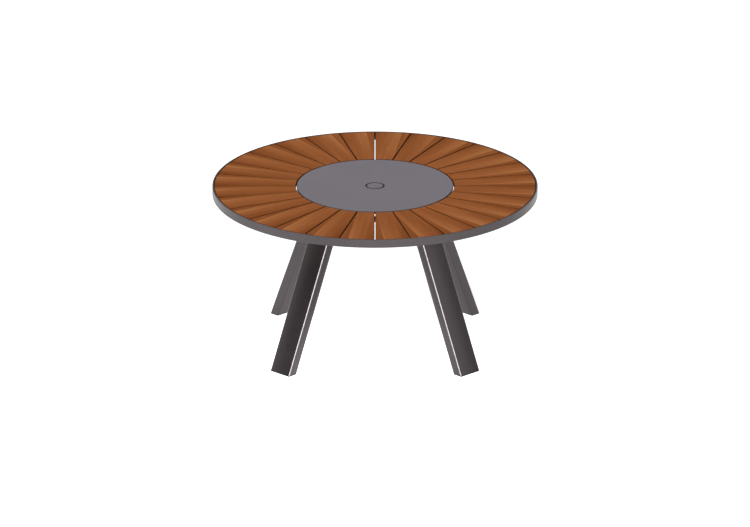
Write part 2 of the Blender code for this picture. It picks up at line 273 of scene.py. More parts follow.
def coat_material(name, dark, light, worn_tone, roughness, spin=0.0, ior=1.55,
                  sheen=(1.0, 0.90, 0.93)):
    """Satin powder coat with fine metal flake over steel or aluminium.
    spin above 0 adds the faint rings that a turned and polished disc has."""
    mat, n, bsdf = new_material(name)
    co = n.new("ShaderNodeTexCoord").outputs["Object"]
    edge = n.new("ShaderNodeAttribute", attribute_name="edge").outputs["Fac"]
    cloud = n.noise(co, 2.6, 3.0, 0.55)
    patch = n.noise(co, 19.0, 3.0, 0.6)
    flake = n.noise(co, 1700.0, 1.0, 0.5)
    peel = n.noise(co, 330.0, 2.0, 0.5)
    fine = n.noise(co, 1100.0, 2.0, 0.55)
    tone = n.total(0.5, n.centred(cloud, 0.35), n.centred(patch, 0.22), n.centred(flake, 0.5))
    colour = n.blend(n.math("MULTIPLY", tone, 1.0, clamp=True), (*dark, 1.0), (*light, 1.0))
    # handling wears the coat thin along the edges
    chips = n.ramp_to(n.noise(co, 70.0, 4.0, 0.65), 0.50, 0.66, 0.12, 0.70)
    worn = n.mul(edge, chips)
    colour = n.blend(worn, colour, rgba(worn_tone))
    # painted highlight along the leg's outward corners: a lighter, metallic colour, partly polish to bare metal
    polish_and_highlight = n.new("ShaderNodeAttribute", attribute_name="polish_and_highlight").outputs["Fac"]
    polish_and_highlight = n.mul(polish_and_highlight, n.ramp_to(n.noise(co, 38.0, 3.0, 0.6), 0.3, 0.6, 0.80, 1.0))
    colour = n.blend(polish_and_highlight, colour, rgba("7b7778"))
    # painted shade on the faces a piece marks for it: recesses, gaps and inward corners
    painted_shade = n.new("ShaderNodeAttribute", attribute_name="painted_shade").outputs["Fac"]
    colour = n.blend(n.mul(painted_shade, 0.9), colour, rgba("1a181a"))
    # dust lies in the low spots, hands leave soft marks
    smudge = n.ramp_to(n.noise(co, 5.5, 4.0, 0.6, 0.6), 0.42, 0.68)
    rough = n.total(roughness, n.centred(patch, 0.05), n.mul(smudge, 0.035), n.mul(worn, 0.07),
                    n.mul(polish_and_highlight, -0.08), n.centred(fine, 0.05))
    height = n.total(n.mul(peel, 0.8), n.mul(fine, 0.3), n.mul(worn, -0.3))
    if spin:
        axes = n.new("ShaderNodeSeparateXYZ", {0: co}).outputs
        flat = n.new("ShaderNodeCombineXYZ", {0: axes[0], 1: axes[1], 2: 0.0}).outputs[0]
        radius = n.new("ShaderNodeVectorMath", {0: flat}, operation="LENGTH").outputs["Value"]
        turn = n.noise(n.new("ShaderNodeCombineXYZ", {0: n.mul(radius, 900.0), 1: 0.0, 2: 0.0}
                             ).outputs[0], 1.0, 3.0, 0.6)
        rough = n.add(rough, n.centred(turn, 0.06 * spin))
        height = n.add(height, n.mul(turn, 0.35 * spin))
    n.put(bsdf, "Base Color", colour)
    n.put(bsdf, "Roughness", rough)
    n.put(bsdf, "Metallic", polish_and_highlight)
    bsdf.inputs["IOR"].default_value = ior
    bsdf.inputs["Specular Tint"].default_value = (*sheen, 1.0)
    n.put(bsdf, "Normal", n.bump(height, 0.30, 0.00007))
    return mat


def plastic_material():
    """Moulded dark plastic with a spark-eroded grain, scuffed near the floor."""
    mat, n, bsdf = new_material("moulded_plastic")
    co = n.new("ShaderNodeTexCoord").outputs["Object"]
    z = n.new("ShaderNodeSeparateXYZ", {0: co}).outputs[2]
    grain = n.noise(co, 900.0, 3.0, 0.6)
    cloud = n.noise(co, 24.0, 3.0, 0.6)
    scuff = n.mul(n.ramp_to(z, 0.0032, 0.0004), n.ramp_to(n.noise(co, 130.0, 4.0, 0.7), 0.46, 0.64))
    colour = n.colours(n.total(0.5, n.centred(grain, 0.5), n.centred(cloud, 0.5)),
                       [(0.2, linear("141315")), (0.8, linear("1e1d1f"))])
    n.put(bsdf, "Base Color", n.blend(n.mul(scuff, 0.35), colour, rgba("474441")))
    n.put(bsdf, "Roughness", n.total(0.62, n.centred(grain, 0.14), n.mul(scuff, 0.15)))
    bsdf.inputs["IOR"].default_value = 1.30
    n.put(bsdf, "Normal", n.bump(n.sub(grain, n.mul(scuff, 0.4)), 0.45, 0.0001))
    return mat


def metal_material(name, dark, light, roughness, stain):
    """Bare or plated metal: machining marks, soft stains and brighter edges."""
    mat, n, bsdf = new_material(name)
    co = n.new("ShaderNodeTexCoord").outputs["Object"]
    edge = n.new("ShaderNodeAttribute", attribute_name="edge").outputs["Fac"]
    marks = n.noise(n.scaled(co, (260.0, 260.0, 2600.0)), 1.0, 3.0, 0.6)
    patch = n.noise(co, 42.0, 4.0, 0.6, 0.4)
    colour = n.colours(n.total(0.5, n.centred(marks, 0.5), n.centred(patch, 0.6)),
                       [(0.2, linear(dark)), (0.8, linear(light))])
    tint = n.ramp_to(n.noise(co, 17.0, 3.0, 0.6), 0.5, 0.75)
    colour = n.blend(n.mul(tint, 0.35), colour, rgba(stain))
    colour = n.blend(n.mul(edge, 0.35), colour, rgba("d6d4d0"))
    n.put(bsdf, "Base Color", colour)
    bsdf.inputs["Metallic"].default_value = 1.0
    n.put(bsdf, "Roughness", n.total(roughness, n.centred(marks, 0.18), n.centred(patch, 0.12)))
    n.put(bsdf, "Normal", n.bump(marks, 0.35, 0.00004))
    return mat


# how far the painted shade in the slat joints darkens the wood
JOINT_SHADE_TONE = 0.88
WOOD = wood_material()
COAT = coat_material("powder_coat_frame", linear("1d1a1b"), linear("262223"), "383335", 0.29,
                     ior=1.51)
# the rim's copy of the frame coat is lighter, standing in for the stronger light the rim gets
COAT_RIM_LIT = coat_material("powder_coat_rim_lit", linear("322e2f"), linear("3d393a"), "4b4547", 0.32,
                         ior=1.38)
COAT_DISC = coat_material("powder_coat_disc", linear("6a656d"), linear("767179"), "7b767f", 0.42,
                          spin=1.0, ior=1.30, sheen=(1.0, 0.96, 1.0))
PLASTIC = plastic_material()
STEEL = metal_material("stainless_fastener", "8e8c88", "bab7b1", 0.30, "8a7f70")
ZINC = metal_material("zinc_plated_bearing", "7d7e80", "a5a5a3", 0.36, "9a8f6c")


# -------------------------------------------------------------- mesh helpers
def rounded(points, radii, steps=3, closed=True):
    """The polygon with its corners rounded, as (a, b, on_arc): on_arc says that
    the piece from this point to the next one is part of a rounded corner."""
    out = []
    count = len(points)
    for i, (point, radius) in enumerate(zip(points, radii)):
        p = Vector(point)
        if radius <= 0 or (not closed and i in (0, count - 1)):
            out.append((p.x, p.y, False))
            continue
        a = (Vector(points[i - 1]) - p).normalized()
        b = (Vector(points[(i + 1) % count]) - p).normalized()
        angle = a.angle(b)
        centre = p + (a + b).normalized() * (radius / math.sin(angle / 2))
        start = p + a * (radius / math.tan(angle / 2)) - centre
        stop = p + b * (radius / math.tan(angle / 2)) - centre
        t0 = math.atan2(start.y, start.x)
        turn = math.atan2(stop.y, stop.x) - t0
        turn = (turn + math.pi) % (2 * math.pi) - math.pi
        for k in range(steps + 1):
            t = t0 + turn * k / steps
            out.append((centre.x + radius * math.cos(t), centre.y + radius * math.sin(t),
                        k < steps))
    return out


def mesh_from(name, verts, faces, edge_flags=None, extra=None, sharp=40.0):
    """A mesh with smooth shading, its normals made to point outwards, and face
    attributes: 'edge' is 1 on rounded corners."""
    mesh = bpy.data.meshes.new(name)
    mesh.from_pydata(verts, [], faces)
    mesh.validate()
    for key, values in (("edge", edge_flags), *((extra or {}).items())):
        if values is not None:
            layer = mesh.attributes.new(key, "FLOAT", "FACE")
            layer.data.foreach_set("value", [float(v) for v in values])
    bm = bmesh.new()
    bm.from_mesh(mesh)
    bmesh.ops.recalc_face_normals(bm, faces=bm.faces)
    bm.to_mesh(mesh)
    bm.free()
    mesh.shade_smooth()
    mesh.set_sharp_from_angle(angle=math.radians(sharp))
    return mesh


def lathe(name, profile, segments, closed=True, sharp=40.0):
    """The profile, (radius, height, on_arc) points, turned about +Z. A point on
    the axis becomes a single vertex."""
    verts, rows, faces, flags = [], [], [], []
    for r, z, _ in profile:
        if r < 1e-7:
            rows.append([len(verts)])
            verts.append((0.0, 0.0, z))
        else:
            rows.append(list(range(len(verts), len(verts) + segments)))
            for s in range(segments):
                t = 2 * math.pi * s / segments
                verts.append((r * math.cos(t), r * math.sin(t), z))
    pairs = [(i, i + 1) for i in range(len(profile) - 1)]
    if closed:
        pairs.append((len(profile) - 1, 0))
    for i, j in pairs:
        a, b = rows[i], rows[j]
        for s in range(segments):
            e = (s + 1) % segments
            if len(a) == 1 and len(b) == 1:
                continue
            if len(a) == 1:
                faces.append((a[0], b[s], b[e]))
            elif len(b) == 1:
                faces.append((a[s], b[0], a[e]))
            else:
                faces.append((a[s], b[s], b[e], a[e]))
            flags.append(profile[i][2])
    return mesh_from(name, verts, faces, flags, sharp=sharp)


def skin(loops, cap_first=True, cap_last=True, flags=None, wrap=False):
    """Vertices, faces and face flags of a skin over loops of matching points.
    flags says for each step between loops if it is a rounded edge."""
    count = len(loops[0])
    verts = [p for loop in loops for p in loop]
    faces, marks = [], []
    steps = list(range(len(loops) - 1)) + ([len(loops) - 1] if wrap else [])
    for k in steps:
        a, b = k * count, ((k + 1) % len(loops)) * count
        for i in range(count):
            j = (i + 1) % count
            faces.append((a + i, a + j, b + j, b + i))
            marks.append(bool(flags and flags[k]))
    if cap_first and not wrap:
        faces.append(tuple(reversed(range(count))))
        marks.append(False)
    if cap_last and not wrap:
        faces.append(tuple(range((len(loops) - 1) * count, len(loops) * count)))
        marks.append(False)
    return verts, faces, marks


def paint(mesh, key, rule):
    """Adds a face attribute: rule(radius, height) of each face's middle."""
    layer = mesh.attributes.new(key, "FLOAT", "FACE")
    for polygon, item in zip(mesh.polygons, layer.data):
        c = polygon.center
        item.value = rule(math.hypot(c.x, c.y), c.z)
    return mesh


def joined(parts):
    """Several (vertices, faces, flags) as one."""
    verts, faces, flags = [], [], []
    for v, f, g in parts:
        base = len(verts)
        verts += v
        faces += [tuple(i + base for i in face) for face in f]
        flags += g
    return verts, faces, flags


def moved(part, matrix):
    v, f, g = part
    return [tuple(matrix @ Vector(p)) for p in v], f, g


def piece(name, mesh, material, body, nodes=(), turn=0.0, even=True):
    """An object made of the mesh, turned about +Z, riding on a CAD body."""
    obj = bpy.data.objects.new(name, mesh)
    bpy.context.scene.collection.objects.link(obj)
    if not mesh.materials:
        mesh.materials.append(material)
    obj.rotation_euler = (0.0, 0.0, math.radians(turn))
    if even:
        mod = obj.modifiers.new("even_normals", "WEIGHTED_NORMAL")
        mod.mode = "FACE_AREA"
        mod.weight = 50
        mod.keep_sharp = True
    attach(obj, body)
    if nodes:
        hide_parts(*nodes)
    return obj


# --------------------------------------------------------------------- slats
def slat_outline(inset, corner, arc=14, bend=3):
    """Plan of a slat along +X: straight sides parallel to the rays between
    slats, an arc at each end, and small rounded corners."""
    half = math.pi / SLATS
    off = SLAT_GAP / 2 + inset
    r_in, r_out = SLAT_R_IN + inset, SLAT_R_OUT - inset
    a_in = half - math.asin(off / r_in)
    a_out = half - math.asin(off / r_out)
    side = Vector((math.cos(half), math.sin(half)))
    points = []
    stop = a_out - corner / r_out
    for i in range(arc + 1):
        t = stop * i / arc
        points.append(Vector((r_out * math.cos(t), r_out * math.sin(t))))
    for r, a, u, order in ((r_out, a_out, -side, range(1, bend + 1)),
                           (r_in, a_in, side, range(bend, 0, -1))):
        tip = Vector((r * math.cos(a), r * math.sin(a)))
        t = Vector((math.sin(a), -math.cos(a)))
        centre = tip + corner * (u + t)
        for k in order:
            q = math.pi / 2 * k / bend
            points.append(centre - corner * (math.cos(q) * u + math.sin(q) * t))
    stop = a_in - corner / r_in
    for i in range(arc, -1, -1):
        t = stop * i / arc
        points.append(Vector((r_in * math.cos(t), r_in * math.sin(t))))
    lower = [Vector((p.x, -p.y)) for p in reversed(points[1:-1])]
    return [(p.x, p.y) for p in points + lower]


def shade_away_from_light(azimuth):
    """Painted shade is worst on the slat sides that face away from the light: 0 to 1."""
    t = (math.cos(math.radians(azimuth + 30.0)) - 0.70) / 0.27
    t = min(max(t, 0.0), 1.0)
    return t * t * (3 - 2 * t)


def slat_mesh(name, seed, turn):
    top, low, corner = 0.0026, 0.0012, 0.0032
    sides = {s: shade_away_from_light(turn + s * (90.0 + 180.0 / SLATS)) for s in (-1, 1)}
    levels = []
    for k in range(4):
        q = math.pi / 2 * k / 3
        levels.append((SLAT_BOTTOM + low * (1 - math.sin(q)), low * (1 - math.cos(q))))
    levels = [(z, i) for z, i in reversed(levels)]
    levels = sorted(levels)
    for k in range(5):
        q = math.pi / 2 * k / 4
        levels.append((TABLE_H - top * (1 - math.sin(q)), top * (1 - math.cos(q))))
    loops = [[(x, y, z) for x, y in slat_outline(i, corner)] for z, i in levels]
    flags = [True] * 3 + [False] + [True] * 4
    verts, faces, marks = skin(loops, flags=flags)
    ends, joint_shade = [], []
    for face in faces:
        mid = sum((Vector(verts[i]) for i in face), Vector()) / len(face)
        r = math.hypot(mid.x, mid.y)
        side = len(face) == 4
        ends.append(side and (r > SLAT_R_OUT - 0.0012 or r < SLAT_R_IN + 0.0012))
        # joint walls get painted shade, deeper downwards and on the sides facing away from the light
        drop = (TABLE_H - mid.z) / top
        facing_shade = 0.0 if not side or ends[-1] else sides[1 if mid.y > 0 else -1]
        faint = min(max((drop + 0.08) / 0.42, 0.0), 1.0)
        strong = min(drop * 6.0 + 0.50, 1.0)
        joint_shade.append(faint + (strong - faint) * facing_shade if side else 0.0)
    mesh = mesh_from(name, verts, faces, marks, {"end_grain": ends, "joint_shade": joint_shade})
    layer = mesh.attributes.new("slat_seed", "FLOAT", "POINT")
    layer.data.foreach_set("value", [seed] * len(mesh.vertices))
    return mesh


def scatter(i):
    """A repeatable number from 0 to 1 for each i."""
    return (math.sin(i * 12.9898 + 4.1) * 43758.5453) % 1.0


for i in range(SLATS):
    label = f"{i + 1:02d}"
    turn = (i + 0.5) * 360 / SLATS
    piece(f"wood_slat_{label}", slat_mesh(f"wood_slat_{label}", scatter(i + 1), turn), WOOD,
          "frame", [f"slat_{label}"], turn)


# ----------------------------------------------------- rim, rings, disc, cap
def rim_mesh():
    inner, low = TABLE_R - RIM_WALL, TABLE_H - RIM_H
    points = [(TABLE_R, TABLE_H), (TABLE_R, low), (inner, low), (inner, LEDGE_BOTTOM),
              (inner - LEDGE_W, LEDGE_BOTTOM), (inner - LEDGE_W, LEDGE_TOP),
              (inner, LEDGE_TOP), (inner, TABLE_H)]
    radii = [0.0007, 0.0010, 0.0010, 0.0025, 0.0008, 0.0008, 0.0015, 0.0007]
    mesh = lathe("rim_band", rounded(points, radii), 512)
    # painted shade on the wall that faces the slats' ends
    return paint(mesh, "painted_shade", lambda r, z: 0.9 if z > LEDGE_TOP + 0.001
                 and r < inner + 0.0006 else 0.0)


def ring_mesh(name, r0, r1, z0, z1, radius, segments):
    points = [(r1, z1), (r1, z0), (r0, z0), (r0, z1)]
    return lathe(name, rounded(points, [radius] * 4), segments)


def slat_ring_mesh():
    web, under = RING_R_OUT - RING_WALL, LEDGE_TOP - RING_WALL
    points = [(RING_R_OUT, LEDGE_TOP), (RING_R_OUT, RING_BOTTOM), (web, RING_BOTTOM),
              (web, under), (RING_R_IN, under), (RING_R_IN, LEDGE_TOP)]
    return lathe("slat_ring", rounded(points, [0.0030, 0.0008, 0.0008, 0.0015, 0.0008, 0.0008]),
                 336)


def disc_mesh():
    points = [(DISC_R, TABLE_H), (DISC_R, TABLE_H - DISC_EDGE_H),
              (DISC_R - DISC_EDGE_T, TABLE_H - DISC_EDGE_H),
              (DISC_R - DISC_EDGE_T, DISC_UNDER), (DISC_BOSS_R, DISC_UNDER),
              (DISC_BOSS_R, DISC_BOSS_Z), (HOLE_R, DISC_BOSS_Z),
              (HOLE_R, TABLE_H - CAP_SEAT_DEPTH), (CAP_SEAT_R, TABLE_H - CAP_SEAT_DEPTH),
              (CAP_SEAT_R, TABLE_H)]
    radii = [0.0026, 0.0008, 0.0008, 0.0015, 0.0010, 0.0006, 0.0006, 0.0005, 0.0004, 0.0026]
    mesh = lathe("turntable_disc", rounded(points, radii), 384)

    # painted shade in the cap's recess and round the disc's outer edge
    def painted_shade_at(r, z):
        recess = HOLE_R < r < CAP_SEAT_R + 0.0025 and z > TABLE_H - CAP_SEAT_DEPTH - 0.0002
        rim = r > DISC_R - 0.0024 and z < TABLE_H - 0.00005
        return 1.0 if recess else 0.8 if rim else 0.0
    return paint(mesh, "painted_shade", painted_shade_at)


def cap_mesh():
    under, inside = TABLE_H - CAP_PLATE_T, CAP_PLUG_R - CAP_PLUG_WALL
    points = [(0.0, TABLE_H), (CAP_R, TABLE_H), (CAP_R, under), (CAP_PLUG_R, under),
              (CAP_PLUG_R, CAP_PLUG_BOTTOM), (inside, CAP_PLUG_BOTTOM),
              (inside, under + 0.0015), (0.0, under + 0.0015)]
    radii = [0, 0.0028, 0.0006, 0.0006, 0.0006, 0.0006, 0.0010, 0]
    mesh = lathe("parasol_hole_cap", rounded(points, radii, closed=False), 128, closed=False)
    # painted shade round the cap's outer edge
    return paint(mesh, "painted_shade", lambda r, z: 1.0 if r > CAP_R - 0.0027
                 and z < TABLE_H - 0.00005 else 0.0)


def seal_shade_mesh():
    """Dark ring lying in the recess round the cap, put there as a seal and to stand in for the recess's shade.
    """
    low = TABLE_H - CAP_SEAT_DEPTH + 0.0002
    points = [(CAP_SEAT_R - 0.0003, low + 0.0022), (CAP_SEAT_R - 0.0003, low),
              (CAP_R + 0.0003, low), (CAP_R + 0.0003, low + 0.0022)]
    return lathe("cap_seal_shade", rounded(points, [0.0005, 0.0003, 0.0003, 0.0005]), 128)


def bearing_upper_mesh():
    low = HUB_TOP + 0.0020
    flange = HUB_TOP + GAP + 0.0130 + BEARING_RUN
    top = DISC_UNDER - GAP
    wall = BEARING_R_MID - BEARING_RUN
    points = [(BEARING_R_OUT, top), (BEARING_R_OUT, flange), (wall, flange),
              (wall, low), (BEARING_R_IN, low), (BEARING_R_IN, top)]
    return lathe("bearing_upper", rounded(points, [0.0006, 0.0006, 0.0008, 0.0006, 0.0006,
                                                   0.0006]), 128)


piece("rim_band", rim_mesh(), COAT_RIM_LIT, "frame", ["rim"])
piece("slat_ring", slat_ring_mesh(), COAT, "frame", ["inner_slat_ring"])
piece("hub_plate_round", ring_mesh("hub_plate_round", SLEEVE_R + GAP, HUB_R, HUB_BOTTOM,
                                   HUB_TOP, 0.0008, 192), COAT, "frame",
      ["hub_plate"])
piece("parasol_tube", ring_mesh("parasol_tube", HOLE_R, SLEEVE_R, SLEEVE_BOTTOM,
                                HUB_TOP, 0.0007, 128), COAT, "frame",
      ["parasol_sleeve"])
piece("bearing_lower", ring_mesh("bearing_lower", BEARING_R_MID, BEARING_R_OUT,
                                 HUB_TOP + GAP, HUB_TOP + GAP + 0.0130, 0.0006, 128),
      ZINC, "frame", ["bearing_lower_ring"])
piece("bearing_upper", bearing_upper_mesh(), ZINC, "turntable",
      ["bearing_upper_ring"])
piece("turntable_disc", disc_mesh(), COAT_DISC, "turntable", ["centre_disc"])
piece("parasol_hole_cap", cap_mesh(), COAT_DISC, "cap", ["parasol_cap"])
piece("cap_seal_shade", seal_shade_mesh(), PLASTIC, "turntable", ())


# ---------------------------------------------------------------------- legs
LEG_CROWN_WIDE, LEG_CROWN_NARROW = 9.0, 3.0


def box_outline(half_x, half_y, corner_x, corner_y, steps):
    """Rectangle with elliptical corners, anticlockwise."""
    points = []
    for quarter in range(4):
        sx = 1 if quarter in (0, 3) else -1
        sy = 1 if quarter in (0, 1) else -1
        cx, cy = sx * (half_x - corner_x), sy * (half_y - corner_y)
        for i in range(steps + 1):
            a = math.pi / 2 * (quarter + i / steps)
            points.append((cx + corner_x * math.cos(a), cy + corner_y * math.sin(a)))
    return points


def leg_section(inset, corner, steps=8):
    return box_outline((LEG_T / 2 - inset) * STRETCH, LEG_W / 2 - inset,
                       corner * STRETCH, corner, steps)


def at_height(outline, z):
    return [(LEG_FOOT_R - LEAN_SLOPE * z + x, y, z) for x, y in outline]


def leg_normals(steps, wide, narrow):
    """Shading directions round the leg. The rolled tube is very slightly
    crowned: the direction leans by wide (narrow) degrees at the wide (narrow)
    faces' edges, and turns through the corners from there."""
    out = []
    for quarter in range(4):
        first, last = (wide, narrow) if quarter % 2 == 0 else (narrow, wide)
        for i in range(steps + 1):
            a = math.radians(90 * quarter + first + (90 - first - last) * i / steps)
            across = math.cos(a)
            out.append(Vector((across * math.cos(LEG_LEAN), math.sin(a),
                               across * math.sin(LEG_LEAN))))
    return out


def leg_mesh():
    steps = 8
    out = leg_section(0.0, LEG_CORNER, steps)
    rim = leg_section(0.0004, LEG_CORNER - 0.0004, steps)
    inn = leg_section(LEG_WALL, LEG_CORNER - LEG_WALL, steps)
    levels = [(LEG_BOTTOM + 0.0005, out)]
    levels += [(LEG_BOTTOM + (LEG_TOP - LEG_BOTTOM) * k / 6, out) for k in range(1, 6)]
    levels += [(LEG_TOP - 0.0005, out), (LEG_TOP, rim), (LEG_TOP, inn),
               (LEG_BOTTOM, inn), (LEG_BOTTOM, rim)]
    loops = [at_height(o, z) for z, o in levels]
    flags = [False] * 6 + [True, False, False, False, True]
    verts, faces, marks = skin(loops, flags=flags, wrap=True)
    mesh = mesh_from("leg", verts, faces, marks)
    count = len(out)
    shading = leg_normals(steps, LEG_CROWN_WIDE, LEG_CROWN_NARROW)
    normals = [n.vector.copy() for n in mesh.corner_normals]
    for polygon in mesh.polygons:
        if polygon.index < 6 * count:
            for loop in polygon.loop_indices:
                normals[loop] = shading[mesh.loops[loop].vertex_index % count]
    mesh.normals_split_custom_set(normals)
    # painted highlight on the outward corners, partly polish to bare metal; painted shade on the inward ones
    polish_and_highlight = [0.0] * len(mesh.polygons)
    shaded = [0.0] * len(mesh.polygons)
    for i in range(6 * count):
        quarter, k = divmod(i % count, steps + 1)
        if quarter in (0, 3) and 0 < k < steps - 1:
            polish_and_highlight[i] = 1.0
        elif quarter in (1, 2) and 1 < k < steps - 2:
            shaded[i] = 0.7
    for key, values in (("polish_and_highlight", polish_and_highlight), ("painted_shade", shaded)):
        mesh.attributes.new(key, "FLOAT", "FACE").data.foreach_set("value", values)
    return mesh


def foot_mesh():
    sole = leg_section(0.0004, LEG_CORNER - 0.0004)
    tread = leg_section(0.0016, LEG_CORNER - 0.0016)
    plug = leg_section(LEG_WALL + GAP, LEG_CORNER - LEG_WALL - GAP)
    tip = leg_section(LEG_WALL + 0.0012, LEG_CORNER - LEG_WALL - 0.0012)
    loops = [at_height(tread, 0.0), at_height(sole, 0.0012), at_height(sole, FOOT_CAP_T - 0.0003),
             at_height(leg_section(0.0008, LEG_CORNER - 0.0008), FOOT_CAP_T),
             at_height(plug, FOOT_CAP_T), at_height(plug, FOOT_CAP_T + FOOT_PLUG_H - 0.001),
             at_height(tip, FOOT_CAP_T + FOOT_PLUG_H)]
    verts, faces, marks = skin(loops, flags=[True, False, True, False, False, True])
    return mesh_from("foot", verts, faces, marks)


def leg_plate_mesh():
    mid, half_x = (PLATE_R_IN + PLATE_R_OUT) / 2, (PLATE_R_OUT - PLATE_R_IN) / 2
    ease, loops = 0.0007, []
    for z, inset in ((PLATE_BOTTOM, ease), (PLATE_BOTTOM + ease * 0.3, ease * 0.3),
                     (PLATE_BOTTOM + ease, 0.0), (PLATE_TOP - ease, 0.0),
                     (PLATE_TOP - ease * 0.3, ease * 0.3), (PLATE_TOP, ease)):
        outline = box_outline(half_x - inset, PLATE_W / 2 - inset, 0.008 - inset,
                              0.008 - inset, 6)
        loops.append([(mid + x, y, z) for x, y in outline])
    verts, faces, marks = skin(loops, flags=[True, True, False, True, True])
    return mesh_from("leg_plate", verts, faces, marks)


# ---------------------------------------------------------------------- arms
def arm_section(x, low, high, half_y, corner, steps=5):
    half_z = (high - low) / 2
    mid = (high + low) / 2
    corner = min(corner, half_z * 0.45)
    return [(x, y, mid + z) for y, z in
            box_outline(half_y, half_z, corner, corner, steps)]


def arm_mesh():
    slope = (ARM_END_BOTTOM - ARM_BOTTOM) / (ARM_R_OUT - ARM_TAPER_FROM)

    def low(x):
        return ARM_BOTTOM + max(0.0, x - ARM_TAPER_FROM) * slope

    pad = LEDGE_BOTTOM - GAP

    def high(x):
        t = min(max((x - ARM_PAD_FROM) / 0.010, 0.0), 1.0)
        return ARM_TOP + (pad - ARM_TOP) * t

    half = ARM_W / 2
    ease = 0.0005
    loops = [arm_section(ARM_R_IN, low(0) + ease, high(0) - ease, half - ease, 0.0026)]
    for x in (ARM_R_IN + ease, 0.20, 0.40, ARM_TAPER_FROM - 0.004, ARM_TAPER_FROM + 0.004,
              ARM_PAD_FROM - 0.002, ARM_PAD_FROM + 0.001, ARM_PAD_FROM + 0.009,
              ARM_PAD_FROM + 0.012, ARM_R_OUT - ease):
        loops.append(arm_section(x, low(x), high(x), half, 0.003))
    loops.append(arm_section(ARM_R_OUT, low(ARM_R_OUT) + ease, pad - ease, half - ease, 0.0026))
    flags = [True] + [False] * 9 + [True]
    outside = skin(loops, cap_first=False, flags=flags)
    w = ARM_WALL
    inner = []
    for x in (ARM_PAD_FROM - 0.004, ARM_TAPER_FROM, ARM_R_IN + ease):
        inner.append(arm_section(x, low(x) + w, ARM_TOP - w, half - w, 0.0008))
    inner.append(arm_section(ARM_R_IN, low(0) + w - ease, ARM_TOP - w + ease, half - w + ease,
                             0.0012))
    inside = skin(inner, cap_last=False)
    verts, faces, marks = joined([outside, inside])
    count = len(loops[0])
    last = len(verts) - count          # the mouth of the hollow
    for i in range(count):
        j = (i + 1) % count
        faces.append((i, last + i, last + j, j))
        marks.append(True)
    return mesh_from("arm", verts, faces, marks)


# ------------------------------------------------------------------- fasteners
def bolt_mesh():
    """Hexagon bolt with a washer face, head down, seated at its origin."""
    flat = BOLT_HEAD_AF / 2
    count = 48

    def hexagon(scale, round_off=0.0):
        out = []
        for i in range(count):
            a = 2 * math.pi * i / count
            b = (a + math.pi / 6) % (math.pi / 3) - math.pi / 6
            r = flat / math.cos(b)
            r = min(r, flat * 1.15 - round_off)
            out.append((r * scale * math.cos(a), r * scale * math.sin(a)))
        return out

    def circle(r):
        return [(r * math.cos(2 * math.pi * i / count), r * math.sin(2 * math.pi * i / count))
                for i in range(count)]

    def at(outline, z):
        return [(x, y, z) for x, y in outline]

    chamfer = [tuple(Vector(p) * min(1.0, flat * 0.97 / Vector(p).length)) for p in hexagon(1)]
    loops = [at(circle(flat * 0.30), -BOLT_HEAD_H + 0.0005), at(circle(flat * 0.62), -BOLT_HEAD_H + 0.0004),
             at(circle(flat * 0.66), -BOLT_HEAD_H), at(chamfer, -BOLT_HEAD_H),
             at(hexagon(1, 0.0002), -BOLT_HEAD_H + 0.0009), at(hexagon(1, 0.0002), -0.0009),
             at(circle(flat * 1.08), -0.0008), at(circle(flat * 1.10), 0.0),
             at(circle(BOLT_SHANK_R), 0.0), at(circle(BOLT_SHANK_R), BOLT_LENGTH - 0.001),
             at(circle(BOLT_SHANK_R * 0.8), BOLT_LENGTH)]
    flags = [False, True, False, True, False, True, False, False, False, True]
    verts, faces, marks = skin(loops, flags=flags)
    return mesh_from("hex_bolt", verts, faces, marks, sharp=28.0)


def screw_part(radius, height):
    """Pan-head screw with a six-lobe recess, head down, seated at its origin."""
    count = 36

    def ring_at(r, z, lobes=0.0):
        return [(r * (1 + lobes * math.cos(6 * t)) * math.cos(t),
                 r * (1 + lobes * math.cos(6 * t)) * math.sin(t), z)
                for t in (2 * math.pi * i / count for i in range(count))]

    drive = radius * 0.46
    loops = [ring_at(radius * 0.5, 0.0), ring_at(radius * 0.97, 0.0), ring_at(radius, -height * 0.22),
             ring_at(radius * 0.97, -height * 0.50), ring_at(radius * 0.86, -height * 0.80),
             ring_at(radius * 0.70, -height * 0.96), ring_at(radius * 0.60, -height),
             ring_at(drive, -height, 0.13), ring_at(drive * 0.95, -height * 0.90, 0.13),
             ring_at(drive * 0.93, -height * 0.35, 0.13), ring_at(drive * 0.4, -height * 0.22)]
    flags = [False, True, True, True, True, True, False, True, False, False]
    return skin(loops, flags=flags)


def screws(name, places, z, radius, height):
    part = screw_part(radius, height)
    parts = []
    for k, (r, degrees) in enumerate(places):
        a = math.radians(degrees)
        spin = Matrix.Rotation(scatter(k * 3 + len(places)) * 6.28, 4, "Z")
        parts.append(moved(part, Matrix.Translation((r * math.cos(a), r * math.sin(a), z)) @ spin))
    verts, faces, marks = joined(parts)
    return mesh_from(name, verts, faces, marks)


